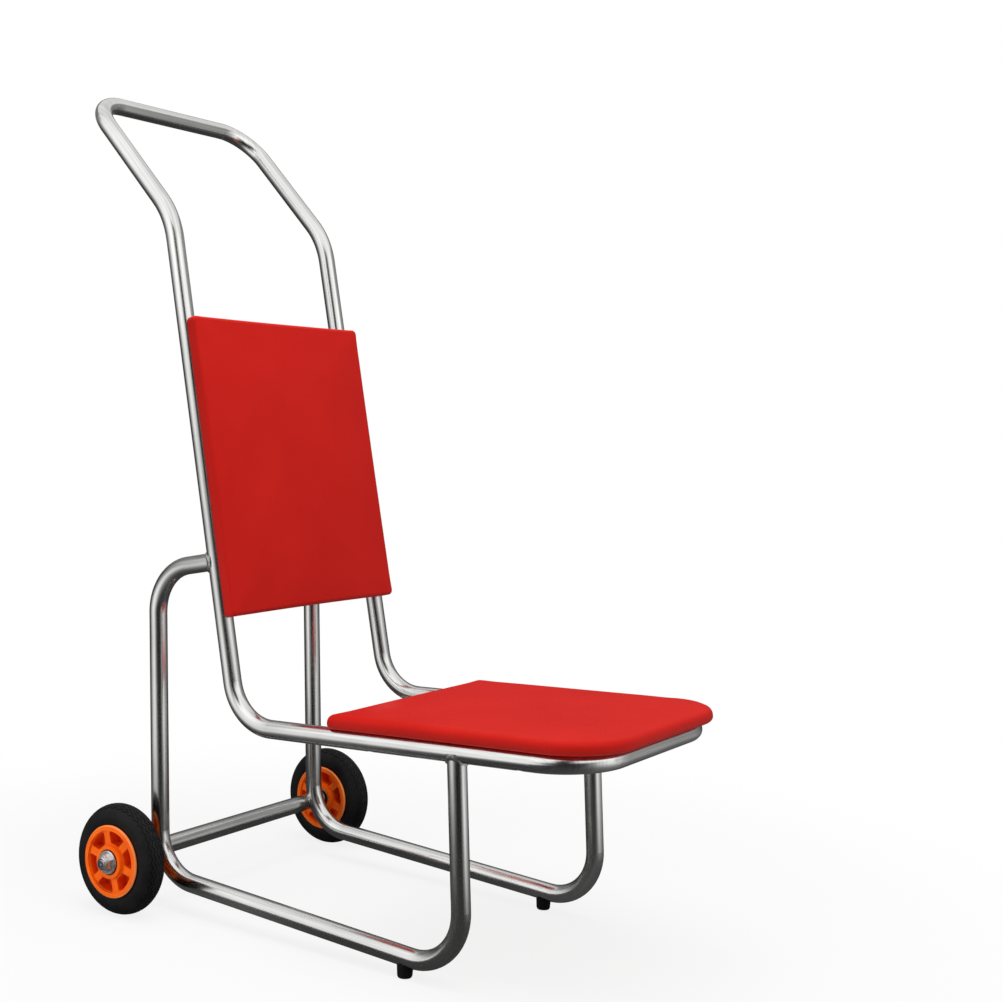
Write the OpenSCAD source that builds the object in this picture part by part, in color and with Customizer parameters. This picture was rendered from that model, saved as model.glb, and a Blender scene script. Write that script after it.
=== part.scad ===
// Stacking chair trolley: one bent tube carries a padded seat and back and ends in a push handle,
// two leg loops stand under it, and two spoked wheels turn on an axle behind the legs.
// The seat faces -Y, the handle leans to +Y, and z = 0 is the floor under the middle of the trolley.

/* [Tubes] */
// Outside diameter of every frame tube
tube_d = 25; // [22:0.5:28]
// Wall of the frame tubes
tube_wall = 1.5; // [1:0.1:2.5]
// Distance between the centre lines of the left and right side
track = 335; // [300:5:380]

/* [Seat and back frame] */
// Height of the point where the seat and back centre lines would cross
corner_h = 274; // [255:1:300]
// Seat rail from that point to the front bar
seat_len = 548; // [520:1:580]
// Rise of the seat towards the front, in degrees
seat_rise = 3; // [1:0.25:5]
// Upright from the same point to the kink
back_len = 717; // [660:1:770]
// Lean of the uprights from the vertical, in degrees
back_lean = 12.75; // [10:0.25:15]
// Handle arm from the kink to the handle bar
arm_len = 249; // [220:1:290]
// Lean of the handle arms from the vertical, in degrees
arm_lean = 45; // [35:1:55]
// Bend between seat rail and upright, on the centre line
seat_bend_r = 70; // [55:1:80]
// Bend at the kink
kink_bend_r = 120; // [80:1:150]
// Bends at the ends of the handle bar
handle_bend_r = 60; // [45:1:75]
// Bends at the ends of the front bar
front_bend_r = 75; // [50:1:90]
// Butt joint of the two tubes of the frame, measured up the upright
butt_joint = 400; // [370:1:430]

/* [Legs] */
// Rear post behind the seat and back corner, on the floor
rear_post_set = 132; // [115:1:150]
// Rear post to front post, on the floor
leg_base = 515; // [480:1:540]
// Lean of the rear post, in degrees
rear_post_lean = 3.6; // [2:0.1:5]
// Lean of the front post, in degrees
front_post_lean = 4.4; // [3:0.1:6]
// Height of the floor rail's centre line at the rear corner
floor_rail_h = 46; // [42:1:52]
// Fall of the floor rail towards the front, in degrees
floor_rail_fall = 2.7; // [2:0.1:3]
// Height of the leg's upper rear corner
leg_top_h = 471; // [440:1:500]
// Rise of the leg's upper run towards the upright, in degrees
leg_top_rise = 11.3; // [5:0.1:15]
// Leg bends, on the centre line
leg_bend_r = 68; // [55:1:75]

/* [Pads] */
// Width of the seat and back pads
pad_w = 360; // [340:1:380]
// Rear edge of the seat pad, along the rail from the corner
seat_pad_rear = 160; // [145:1:185]
// Front edge of the seat pad, along the rail from the corner
seat_pad_front = 572; // [555:1:590]
// Thickness of the seat pad at its edge
seat_pad_t = 19; // [18:0.5:26]
// Radius of the seat pad's front corners
seat_front_r = 85; // [60:1:110]
// Lower edge of the back pad, up the upright from the corner
back_pad_low = 147; // [130:1:165]
// Upper edge of the back pad, up the upright from the corner
back_pad_high = 565; // [535:1:590]
// Thickness of the back pad at its edge
back_pad_t = 18; // [16:0.5:24]
// Radius of the small pad corners
pad_corner_r = 8; // [6:1:20]
// Thickness of the plywood boards in the pads
board_t = 8; // [6:0.5:10]
// Height of the pads' crown above their edge
pad_crown = 3; // [1:0.5:5]

/* [Wheels] */
// Tyre diameter
wheel_d = 152; // [148:1:160]
// Middle of the wheel outside the side's centre line
wheel_offset = 58; // [55:1:70]
// Diameter of the round tyre section
tyre_section_d = 37; // [34:0.5:40]
// Diameter over the rim's lips
rim_d = 99; // [96:1:104]
// Width over the rim's lips
rim_w = 43; // [41:0.5:46]
// Length of the hub
hub_len = 48; // [46:0.5:52]
// Diameter of the hub boss
hub_d = 45; // [42:1:48]
// Number of spokes
spokes = 6; // [5:1:8]
// Width of a spoke
spoke_w = 11; // [8:0.5:13]
// Diameter of the axle rod
axle_d = 12; // [10:0.5:13]
// Outside diameter of the wheel bearings
bearing_d = 35; // [33:0.5:37]
// Width of the wheel bearings
bearing_w = 11; // [10:0.5:12]

/* [Feet] */
// Foot behind the front post, along the floor
foot_set = 89; // [84:1:110]
// Diameter of a foot where it meets the tube
foot_d = 22; // [20:0.5:24]
// Diameter of a foot on the floor
foot_base_d = 19.5; // [18:0.5:20]

/* [Hidden] */
$fn = 48;
bead_fn = 144;

// Clearances
weld_gap = 0.1;
seat_gap = 0.2;
soft_gap = 0.3;
press_gap = 0.04;
slip_gap = 0.08;
ball_gap = 0.12;
overrun = 1;

// Tubes
tube_r = tube_d / 2;
bore_r = tube_r - tube_wall;
bead_size = 2.2;
bend_swell = 0.05;
bend_lap = 0.5;

// Centre line directions of the frame, as y and z
seat_dir = [-cos(seat_rise), sin(seat_rise)];
back_dir = [sin(back_lean), cos(back_lean)];
arm_dir = [sin(arm_lean), cos(arm_lean)];
seat_normal = [sin(seat_rise), cos(seat_rise)];

// The frame is set so that the trolley's length is centred on the origin
pad_low_r = 2.5;
seat_nose = tube_r + seat_gap + pad_low_r;
front_reach = (seat_dir * seat_pad_front + seat_normal * seat_nose)[0];
rear_reach = (back_dir * back_len + arm_dir * arm_len)[0] + tube_r;
corner = [-(front_reach + rear_reach) / 2, corner_h];
kink = corner + back_dir * back_len;
handle = kink + arm_dir * arm_len;
front = corner + seat_dir * seat_len;
butt = corner + back_dir * butt_joint;

// Centre lines of a leg
rear_dir = [sin(rear_post_lean), cos(rear_post_lean)];
post_dir = [sin(front_post_lean), cos(front_post_lean)];
rail_dir = [-cos(floor_rail_fall), -sin(floor_rail_fall)];
top_dir = [-cos(leg_top_rise), sin(leg_top_rise)];
rear_floor = [corner[0] + rear_post_set, 0];
front_floor = rear_floor - [leg_base, 0];
leg_rear_low = meet(rear_floor, rear_dir, [0, floor_rail_h], [1, 0]);
leg_rear_high = meet(rear_floor, rear_dir, [0, leg_top_h], [1, 0]);
leg_front_low = meet(leg_rear_low, rail_dir, front_floor, post_dir);
leg_top_end = meet(leg_rear_high, top_dir, corner, back_dir);
leg_post_end = meet(leg_front_low, post_dir, corner, seat_dir);

// The axle tube saddles the lower rear bends at the height of the wheels' centre
saddle_depth = 2.5;
axle_z = wheel_d / 2;
low_bend = bend_centre(leg_rear_high, leg_rear_low, leg_front_low, leg_bend_r);
axle_reach = leg_bend_r + tube_d - saddle_depth;
axle_y = low_bend[0] + sqrt(axle_reach * axle_reach - pow(low_bend[1] - axle_z, 2));

// Wheel stack, measured outwards from the middle of a wheel
wheel_x = track / 2 + wheel_offset;
inner_washer_t = 3;
inner_washer_d = 26;
outer_washer_t = 2.2;
outer_washer_d = 32.5;
washer_bevel = 0.9;
washer_boss_d = 17;
washer_lift = 0.5;
bearing_inset = 1.4;
plug_flange_t = 3;
plug_len = 12;
nut_hex_h = 6.5;
nut_collar_h = 3.2;
nut_across_flats = 21;
nut_collar_d = 17.6;
nut_lip = 0.8;
lock_ring_d = 15;
lock_ring_h = 2.8;
rod_tip = 0.7;
rod_chamfer = 1.4;
hub_half = hub_len / 2;
bearing_mid = hub_half - bearing_inset - bearing_w / 2;
bearing_back = bearing_mid - bearing_w / 2;
washer_z = hub_half + washer_lift;
nut_z = washer_z + outer_washer_t;
plug_z = washer_z + inner_washer_t;
rod_end = nut_z + nut_hex_h + nut_collar_h + rod_tip;
axle_tube_half = wheel_x - plug_z - plug_flange_t;

// Bearing section
ball_d = 6.6;
balls = 7;
ball_pitch_r = (axle_d + bearing_d) / 4;
groove_r = ball_d / 2 + ball_gap;
race_lip = 0.6;
shield_t = 0.5;
shield_inset = 0.4;
shield_gap = 0.6;
shell_in_r = ball_pitch_r + ball_d / 2 - race_lip;
race_out_r = ball_pitch_r - ball_d / 2 + race_lip;
sleeve_wall = 2.2;

// Rim
lip_r = 2.4;
rim_channel_depth = 4.2;
rim_barrel_t = 3;
rim_face_inset = 3;
web_t = 6;
hub_bore_d = 28;
pocket_corner_r = 3;
pocket_hub_gap = 2;
pocket_rim_gap = 0.8;
spoke_turns = [16, 47];
arc_steps = 5;
rim_half = rim_w / 2;
rim_face = rim_half - rim_face_inset;
channel_r = rim_d / 2 - rim_channel_depth;
barrel_r = channel_r - rim_barrel_t;
pocket_out_r = barrel_r - pocket_rim_gap;
pocket_in_r = hub_d / 2 + pocket_hub_gap;

// Tyre
tyre_r = wheel_d / 2;
tyre_ring_r = tyre_r - tyre_section_d / 2;
bead_half = rim_half - 2 * lip_r - slip_gap;
groove_w = 1.6;
groove_depth = 1.4;
groove_step = 7;

// Pads, boards and their fixings
pad_top_r = 9;
pad_draw = 1;
back_round_r = 4.5;
board_inset = 4.5;
crown_shares = [0.08, 0.2, 0.4, 0.65];
pad_arc_steps = 6;
pad_side_steps = 5;
round_steps = 4;
seat_screw_places = [230, 455];
back_screw_places = [305, 500];
screw_d = 6;
screw_hole_d = 6.6;
screw_head_d = 11;
screw_head_h = 3.3;
screw_access_d = 12.5;
tee_barrel_d = 7.8;
tee_flange_d = 16;
tee_flange_t = 1.2;
head_top = sqrt(pow(bore_r, 2) - pow(screw_head_d / 2, 2)) - slip_gap;

// Feet
foot_screw_d = 5;
foot_head_d = 10;
foot_head_h = 3;
foot_recess = 6;
foot_round = 2;
foot_screw_end = 4;
foot_y = front_floor[0] + foot_set;
foot_rail_z = meet(leg_rear_low, rail_dir, [foot_y, 0], [0, 1])[1];

// Colours
steel = "silver";
dark_steel = "dimgray";
red = "firebrick";
orange = "darkorange";
black = [0.12, 0.12, 0.12];
timber = "burlywood";
white = "whitesmoke";

// Where the line p + k u crosses the line q + m v
function meet(p, u, q, v) = p + u * (cross(q - p, v) / cross(u, v));
function unit(v) = v / norm(v);
function half_angle(a, p, b) = acos(unit(a - p) * unit(b - p)) / 2;
function bend_centre(a, p, b, r) = p + unit(unit(a - p) + unit(b - p)) * r / sin(half_angle(a, p, b));
function bend_run(a, p, b, r) = r / tan(half_angle(a, p, b));
// A point of the y and z plane, moved to one side
function on_side(side, p) = [side * track / 2, p[0], p[1]];
function last(list) = list[len(list) - 1];
function arc(c, r, from, to, steps) = [for (k = [0 : steps])
    let (a = from + (to - from) * k / steps) c + r * [cos(a), sin(a)]];

// Straight rod between two points
module rod(a, b, r) {
    d = b - a;
    turn = atan2(d[1], d[0]);
    tilt = acos(d[2] / norm(d));
    translate(a) rotate([0, tilt, turn]) cylinder(h = norm(d), r = r);
}

// Round bend at p on the way from a to b
module elbow(a, p, b, bend_r, r) {
    c = bend_centre(a, p, b, bend_r);
    start = p + unit(a - p) * bend_run(a, p, b, bend_r);
    ex = unit(start - c);
    ey = unit(p - a);
    ez = cross(ex, ey);
    rows = [for (i = [0 : 2]) [ex[i], ey[i], ez[i], c[i]]];
    multmatrix(concat(rows, [[0, 0, 0, 1]]))
        rotate_extrude(angle = 180 - 2 * half_angle(a, p, b))
            translate([bend_r, 0])
                circle(r = r);
}

// Solid bar along a route with one bend radius for each inner point. The bends swell by a hair, and the
// straight runs reach a little way into them.
module bent_bar(route, bends, r) {
    n = len(route);
    runs = [for (i = [0 : n - 1]) i == 0 || i == n - 1 ? 0
        : bend_run(route[i - 1], route[i], route[i + 1], bends[i - 1]) - bend_lap];
    for (i = [0 : n - 2]) {
        d = unit(route[i + 1] - route[i]);
        rod(route[i] + d * runs[i], route[i + 1] - d * runs[i + 1], r);
    }
    for (i = [1 : n - 2])
        elbow(route[i - 1], route[i], route[i + 1], bends[i - 1], r + bend_swell);
}

// The same route with its two ends run on a little
function run_on(route) = let (n = len(route), d = overrun)
    [for (i = [0 : n - 1]) i == 0 ? route[0] + unit(route[0] - route[1]) * d
        : i == n - 1 ? route[i] + unit(route[i] - route[i - 1]) * d : route[i]];

module bent_tube(route, bends) {
    difference() {
        bent_bar(route, bends, tube_r);
        bent_bar(run_on(route), bends, bore_r);
    }
}

// Seat frame: x across, -y forward along the rail, z off the seat
module on_seat(x = 0, along = 0) {
    translate([x, corner[0], corner[1]]) rotate([-seat_rise, 0, 0]) translate([0, -along, 0]) children();
}

// Back frame: x across, y up the upright, z forward off the back
module on_back(x = 0, along = 0) {
    translate([x, corner[0], corner[1]]) rotate([90 - back_lean, 0, 0]) translate([0, along, 0]) children();
}

// The two rows of screws along each pad
module at_seat_screws() {
    for (side = [-1, 1], along = seat_screw_places)
        on_seat(side * track / 2, along) children();
}

module at_back_screws() {
    for (side = [-1, 1], along = back_screw_places)
        on_back(side * track / 2, along) children();
}

// Screw hole towards the pad and a wider hole for the driver on the other wall
module screw_drilling() {
    translate([0, 0, -tube_d]) cylinder(h = tube_d, d = screw_access_d);
    cylinder(h = tube_d, d = screw_hole_d);
}

handle_route = [on_side(-1, butt), on_side(-1, kink), on_side(-1, handle),
    on_side(1, handle), on_side(1, kink), on_side(1, butt)];
handle_bends = [kink_bend_r, handle_bend_r, handle_bend_r, kink_bend_r];
seat_end = butt - back_dir * weld_gap;
seat_route = [on_side(-1, seat_end), on_side(-1, corner), on_side(-1, front),
    on_side(1, front), on_side(1, corner), on_side(1, seat_end)];
seat_bends = [seat_bend_r, front_bend_r, front_bend_r, seat_bend_r];
leg_bends = [leg_bend_r, leg_bend_r, leg_bend_r];
function leg_route(side) = [on_side(side, leg_top_end), on_side(side, leg_rear_high),
    on_side(side, leg_rear_low), on_side(side, leg_front_low), on_side(side, leg_post_end)];

module handle_tube() {
    color(steel) difference() {
        bent_tube(handle_route, handle_bends);
        at_back_screws() screw_drilling();
    }
}

module seat_tube() {
    color(steel) difference() {
        bent_tube(seat_route, seat_bends);
        at_seat_screws() screw_drilling();
        at_back_screws() screw_drilling();
    }
}

// Stretch of the upright or the seat rail that a leg is welded to
module weld_stretch(side, p, dir, r) {
    rod(on_side(side, p - dir * tube_d), on_side(side, p + dir * tube_d), r);
}

module leg_tube(side) {
    color(steel) difference() {
        bent_tube(leg_route(side), leg_bends);
        weld_stretch(side, leg_top_end, back_dir, tube_r + weld_gap);
        weld_stretch(side, leg_post_end, seat_dir, tube_r + weld_gap);
        at_foot(side) cylinder(h = foot_rail_z, d = foot_screw_d + 2 * slip_gap);
    }
}

module low_elbow(side, r) {
    route = leg_route(side);
    elbow(route[1], route[2], route[3], leg_bend_r, r);
}

module axle_bar(half, r) {
    rod([-half, axle_y, axle_z], [half, axle_y, axle_z], r);
}

module axle_tube() {
    color(steel) difference() {
        axle_bar(axle_tube_half, tube_r);
        axle_bar(axle_tube_half + overrun, bore_r);
        for (side = [-1, 1])
            low_elbow(side, tube_r + weld_gap);
    }
}

// Fillet of weld where a leg's end meets the frame: what two thicker bars share, less the tubes
module butt_bead(side, p, dir, leg_dir) {
    difference() {
        intersection() {
            weld_stretch(side, p, dir, tube_r + bead_size);
            rod(on_side(side, p), on_side(side, p + leg_dir * tube_d), tube_r + bead_size);
        }
        weld_stretch(side, p, dir, tube_r + weld_gap / 2);
        rod(on_side(side, p - leg_dir * tube_d), on_side(side, p + leg_dir * 2 * tube_d),
            tube_r + weld_gap / 2);
    }
}

module saddle_bead(side) {
    difference() {
        intersection() {
            low_elbow(side, tube_r + bead_size);
            axle_bar(axle_tube_half, tube_r + bead_size);
        }
        low_elbow(side, tube_r + weld_gap / 2);
        axle_bar(axle_tube_half + overrun, tube_r + weld_gap / 2);
    }
}

module upright_welds() {
    $fn = bead_fn;
    color(dark_steel) for (side = [-1, 1])
        butt_bead(side, leg_top_end, back_dir, -top_dir);
}

module rail_welds() {
    $fn = bead_fn;
    color(dark_steel) for (side = [-1, 1])
        butt_bead(side, leg_post_end, seat_dir, -post_dir);
}

module axle_welds() {
    $fn = bead_fn;
    color(dark_steel) for (side = [-1, 1])
        saddle_bead(side);
}

// Quarter circle of a rounded corner, and a side drawn in between two corners
function corner_arc(c, r, from, steps) = arc(c, r, from, from + 90, steps);
function side_run(p, q, steps, draw) = let (d = unit(q - p), inward = [-d[1], d[0]])
    [for (k = [1 : steps]) let (f = k / (steps + 1)) p + (q - p) * f + inward * draw * sin(180 * f)];

// Outline of a pad or board: y from low to high, corner radii at each end, all drawn in by an inset
function pad_outline(low, high, low_r, high_r, inset, draw) = let (
    x = pad_w / 2 - inset,
    y0 = low + inset,
    y1 = high - inset,
    r0 = max(low_r - inset, pad_low_r),
    r1 = max(high_r - inset, pad_low_r),
    n = pad_arc_steps,
    arcs = [corner_arc([x - r1, y1 - r1], r1, 0, n), corner_arc([r1 - x, y1 - r1], r1, 90, n),
        corner_arc([r0 - x, y0 + r0], r0, 180, n), corner_arc([x - r0, y0 + r0], r0, 270, n)])
    [for (i = [0 : 3]) let (next = arcs[(i + 1) % 4][0])
        each concat(arcs[i], side_run(last(arcs[i]), next, pad_side_steps, draw))];

// Upholstered slab: rounded lower and upper edges, then rings that rise to the crown
module pad_slab(low, high, low_r, high_r, thick, top_r) {
    mid = [0, (low + high) / 2];
    steps = [for (k = [0 : round_steps]) 90 * k / round_steps];
    lower = [for (a = steps) [pad_low_r * (1 - sin(a)), pad_low_r * (1 - cos(a))]];
    upper = [for (a = steps) [top_r * (1 - cos(a)), thick - top_r * (1 - sin(a))]];
    edge_rings = [for (s = concat(lower, upper))
        [for (p = pad_outline(low, high, low_r, high_r, s[0], pad_draw)) [p[0], p[1], s[1]]]];
    rim = last(edge_rings);
    crown_rings = [for (s = crown_shares) let (z = thick + pad_crown * (1 - pow(1 - s, 2)))
        [for (p = rim) [p[0] * (1 - s), mid[1] + (p[1] - mid[1]) * (1 - s), z]]];
    rings = concat(edge_rings, crown_rings);
    n = len(rim);
    m = len(rings);
    poles = [[mid[0], mid[1], 0], [mid[0], mid[1], thick + pad_crown]];
    points = concat([for (ring = rings) each ring], poles);
    walls = [for (k = [0 : m - 2], i = [0 : n - 1]) let (j = (i + 1) % n, a = k * n, b = a + n)
        each [[a + i, b + i, b + j], [a + i, b + j, a + j]]];
    base = [for (i = [0 : n - 1]) [i, (i + 1) % n, m * n]];
    cap = [for (i = [0 : n - 1]) [(m - 1) * n + (i + 1) % n, (m - 1) * n + i, m * n + 1]];
    polyhedron(points, concat(walls, base, cap));
}

module board_slab(low, high, low_r, high_r, grow) {
    translate([0, 0, -grow])
        linear_extrude(board_t + 2 * grow)
            polygon(pad_outline(low, high, low_r, high_r, board_inset - grow, 0));
}

// Tee nut: a barrel in the board and a flange on top of it, drawn from the board's lower face
module tee_nut(grow) {
    barrel_h = board_t + tee_flange_t + grow;
    difference() {
        union() {
            translate([0, 0, -grow]) cylinder(h = barrel_h, d = tee_barrel_d + 2 * grow);
            translate([0, 0, board_t + slip_gap - grow])
                cylinder(h = tee_flange_t + 2 * grow, d = tee_flange_d + 2 * grow);
        }
        if (grow == 0) translate([0, 0, -overrun]) cylinder(h = 2 * board_t, d = screw_d + 2 * slip_gap);
    }
}

// Screw with its head inside the tube and its end in the tee nut
module pad_screw() {
    translate([0, 0, head_top - screw_head_h]) cylinder(h = screw_head_h, d = screw_head_d);
    translate([0, 0, head_top - screw_head_h / 2])
        cylinder(h = tube_r + seat_gap + board_t - head_top + screw_head_h / 2, d = screw_d);
}

// Pads lie with their lower face just off the tubes
module on_seat_pad() { on_seat() translate([0, 0, tube_r + seat_gap]) children(); }
module on_back_pad() { on_back() translate([0, 0, tube_r + seat_gap]) children(); }

module seat_board() {
    color(timber) difference() {
        on_seat_pad() board_slab(-seat_pad_front, -seat_pad_rear, seat_front_r, pad_corner_r, 0);
        at_seat_screws() translate([0, 0, tube_r])
            cylinder(h = 2 * board_t, d = tee_barrel_d + 2 * slip_gap);
    }
}

module seat_pad() {
    color(red) difference() {
        on_seat_pad()
            pad_slab(-seat_pad_front, -seat_pad_rear, seat_front_r, pad_corner_r, seat_pad_t, pad_top_r);
        on_seat_pad() board_slab(-seat_pad_front, -seat_pad_rear, seat_front_r, pad_corner_r, soft_gap);
        at_seat_screws() translate([0, 0, tube_r + seat_gap]) tee_nut(soft_gap);
    }
}

module seat_screws() {
    color(dark_steel) at_seat_screws() pad_screw();
}

module seat_tee_nuts() {
    color(dark_steel) at_seat_screws() translate([0, 0, tube_r + seat_gap]) tee_nut(0);
}

module back_board() {
    color(timber) difference() {
        on_back_pad() board_slab(back_pad_low, back_pad_high, pad_corner_r, pad_corner_r, 0);
        at_back_screws() translate([0, 0, tube_r])
            cylinder(h = 2 * board_t, d = tee_barrel_d + 2 * slip_gap);
    }
}

module back_pad() {
    color(red) difference() {
        on_back_pad()
            pad_slab(back_pad_low, back_pad_high, pad_corner_r, pad_corner_r, back_pad_t, back_round_r);
        on_back_pad() board_slab(back_pad_low, back_pad_high, pad_corner_r, pad_corner_r, soft_gap);
        at_back_screws() translate([0, 0, tube_r + seat_gap]) tee_nut(soft_gap);
    }
}

module back_screws() {
    color(dark_steel) at_back_screws() pad_screw();
}

module back_tee_nuts() {
    color(dark_steel) at_back_screws() translate([0, 0, tube_r + seat_gap]) tee_nut(0);
}

module at_foot(side) {
    translate([side * track / 2, foot_y, 0]) children();
}

// Rubber foot: a tapered plug hollowed to sit round the floor rail, with a recess for its screw
module foot(side) {
    color(black) difference() {
        at_foot(side) union() {
            cylinder(h = foot_round, d1 = foot_base_d - foot_round, d2 = foot_base_d);
            translate([0, 0, foot_round])
                cylinder(h = foot_rail_z - tube_r / 2 - foot_round, d1 = foot_base_d, d2 = foot_d);
        }
        rod(on_side(side, leg_rear_low), on_side(side, leg_front_low), tube_r + soft_gap);
        at_foot(side) translate([0, 0, -overrun])
            cylinder(h = foot_recess + overrun, d = foot_head_d + 2 * slip_gap);
        at_foot(side) cylinder(h = foot_rail_z, d = foot_screw_d + 2 * slip_gap);
    }
}

module foot_screws() {
    tip = foot_rail_z - bore_r + foot_screw_end;
    color(dark_steel) for (side = [-1, 1]) at_foot(side) {
        translate([0, 0, foot_recess - foot_head_h]) cylinder(h = foot_head_h - slip_gap, d = foot_head_d);
        translate([0, 0, foot_recess - foot_head_h / 2])
            cylinder(h = tip - foot_recess + foot_head_h / 2, d = foot_screw_d);
    }
}

// Wheel frame: z points outwards along the axle, from the middle of the wheel
module on_wheel(side) {
    translate([side * wheel_x, axle_y, axle_z]) rotate([0, side * 90, 0]) children();
}

module axle_rod() {
    r = axle_d / 2;
    color(steel) axle_bar(wheel_x + rod_end - rod_chamfer, r);
    color(steel) for (side = [-1, 1]) on_wheel(side)
        translate([0, 0, rod_end - rod_chamfer]) cylinder(h = rod_chamfer, r1 = r, r2 = r - rod_chamfer);
}

// Flanged plug pressed into an end of the axle tube
module axle_plug(side) {
    flange_z = -plug_z - plug_flange_t;
    color(dark_steel) on_wheel(side) difference() {
        union() {
            translate([0, 0, flange_z + weld_gap]) cylinder(h = plug_flange_t - weld_gap, r = tube_r);
            translate([0, 0, flange_z - plug_len])
                cylinder(h = plug_len + plug_flange_t / 2, r = bore_r - press_gap);
        }
        translate([0, 0, flange_z - plug_len - overrun])
            cylinder(h = plug_len + plug_flange_t + 2 * overrun, r = axle_d / 2 + press_gap);
    }
}

// Stepped washer: a boss on the bearing's inner ring and a flange clear of the turning hub
module stepped_washer(side, out, thick, outside_d) {
    boss_h = bearing_inset + washer_lift;
    flat = thick - washer_bevel;
    color(steel) on_wheel(side) mirror([0, 0, out > 0 ? 0 : 1]) difference() {
        union() {
            translate([0, 0, washer_z - boss_h]) cylinder(h = boss_h + flat, d = washer_boss_d);
            translate([0, 0, washer_z]) cylinder(h = flat, d = outside_d);
            translate([0, 0, washer_z + flat])
                cylinder(h = washer_bevel, d1 = outside_d, d2 = outside_d - 2 * washer_bevel);
        }
        translate([0, 0, washer_z - boss_h - overrun])
            cylinder(h = boss_h + thick + 2 * overrun, r = axle_d / 2 + press_gap);
    }
}

module inner_washer(side) { stepped_washer(side, -1, inner_washer_t, inner_washer_d); }
module outer_washer(side) { stepped_washer(side, 1, outer_washer_t, outer_washer_d); }

// Lock nut: a hexagon, a round collar turned in at its lip, and a room for the lock ring
module axle_nut(side) {
    collar_z = nut_z + nut_hex_h;
    color(steel) on_wheel(side) difference() {
        union() {
            intersection() {
                translate([0, 0, nut_z]) cylinder(h = nut_hex_h, d = nut_across_flats / cos(30), $fn = 6);
                translate([0, 0, nut_z])
                    cylinder(h = nut_hex_h, d1 = nut_across_flats + 2 * nut_hex_h, d2 = nut_across_flats);
            }
            translate([0, 0, collar_z - overrun])
                cylinder(h = nut_collar_h - nut_lip + overrun, d = nut_collar_d);
            translate([0, 0, collar_z + nut_collar_h - nut_lip])
                cylinder(h = nut_lip, d1 = nut_collar_d, d2 = nut_collar_d - 2 * nut_lip);
        }
        translate([0, 0, nut_z - overrun])
            cylinder(h = nut_hex_h + nut_collar_h + 2 * overrun, r = axle_d / 2 + press_gap);
        translate([0, 0, collar_z + nut_collar_h - lock_ring_h])
            cylinder(h = lock_ring_h + overrun, d = lock_ring_d);
    }
}

module lock_ring(side) {
    base_z = nut_z + nut_hex_h + nut_collar_h - lock_ring_h;
    color(white) on_wheel(side) translate([0, 0, base_z + slip_gap]) difference() {
        cylinder(h = lock_ring_h - nut_lip, r = lock_ring_d / 2 - slip_gap);
        translate([0, 0, -overrun]) cylinder(h = lock_ring_h + overrun, r = axle_d / 2 + press_gap);
    }
}

module bearing_sleeve(side) {
    inner = axle_d / 2 + press_gap;
    color(steel) on_wheel(side) difference() {
        translate([0, 0, -bearing_back]) cylinder(h = 2 * bearing_back, r = inner + sleeve_wall);
        translate([0, 0, -bearing_back - overrun]) cylinder(h = 2 * (bearing_back + overrun), r = inner);
    }
}

module on_bearing(side, out) {
    on_wheel(side) translate([0, 0, out * bearing_mid]) children();
}

// Turned ring between two radii with the balls' groove cut in it
module race_ring(r_in, r_out) {
    difference() {
        translate([r_in, -bearing_w / 2]) square([r_out - r_in, bearing_w]);
        translate([ball_pitch_r, 0]) circle(r = groove_r);
    }
}

module inner_race(side, out) {
    color(steel) on_bearing(side, out) rotate_extrude() race_ring(axle_d / 2 + press_gap, race_out_r);
}

// Outer ring with a shield on each face
module bearing(side, out) {
    shield_in = race_out_r + shield_gap;
    shield_z = bearing_w / 2 - shield_inset - shield_t;
    color(dark_steel) on_bearing(side, out) rotate_extrude() {
        race_ring(shell_in_r, bearing_d / 2);
        for (z = [shield_z, -shield_z - shield_t])
            translate([shield_in, z]) square([shell_in_r - shield_in + race_lip, shield_t]);
    }
}

module ball_set(side, out) {
    color(steel) on_bearing(side, out) for (k = [0 : balls - 1])
        rotate(360 * k / balls) translate([ball_pitch_r, 0, 0]) sphere(d = ball_d);
}

// Outline of the pocket between two spokes, its first spoke along +X
function turned(p, a) = [p[0] * cos(a) - p[1] * sin(a), p[0] * sin(a) + p[1] * cos(a)];
function pocket_half() = let (
    c = pocket_corner_r,
    y = spoke_w / 2 + c,
    out_c = [sqrt(pow(pocket_out_r - c, 2) - y * y), y],
    in_c = [sqrt(pow(pocket_in_r + c, 2) - y * y), y])
    concat(arc(in_c, c, 180 + atan2(y, in_c[0]), 270, arc_steps),
        arc(out_c, c, -90, atan2(y, out_c[0]), arc_steps));
function pocket_outline() = let (
    low = pocket_half(),
    pitch = 360 / spokes,
    high = [for (i = [len(low) - 1 : -1 : 0]) turned([low[i][0], -low[i][1]], pitch)],
    out_from = atan2(last(low)[1], last(low)[0]),
    in_from = atan2(low[0][1], low[0][0]),
    out_arc = arc([0, 0], pocket_out_r, out_from, pitch - out_from, arc_steps),
    in_arc = arc([0, 0], pocket_in_r, pitch - in_from, in_from, arc_steps))
    concat(low, [for (i = [1 : arc_steps - 1]) out_arc[i]], high, [for (i = [1 : arc_steps - 1]) in_arc[i]]);

// Half of the rim's section, above the middle of the wheel
module rim_section() {
    bore = hub_bore_d / 2;
    seat = bearing_d / 2 + press_gap;
    translate([bore, 0]) square([barrel_r + rim_barrel_t / 2 - bore, bearing_back]);
    translate([seat, 0]) square([barrel_r + rim_barrel_t / 2 - seat, rim_face]);
    translate([seat, 0]) square([hub_d / 2 - seat, hub_half]);
    translate([barrel_r, 0]) square([rim_barrel_t, rim_half]);
    translate([barrel_r, rim_half - 2 * lip_r]) square([rim_d / 2 - lip_r - barrel_r, 2 * lip_r]);
    translate([rim_d / 2 - lip_r, rim_half - lip_r]) circle(r = lip_r);
}

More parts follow.
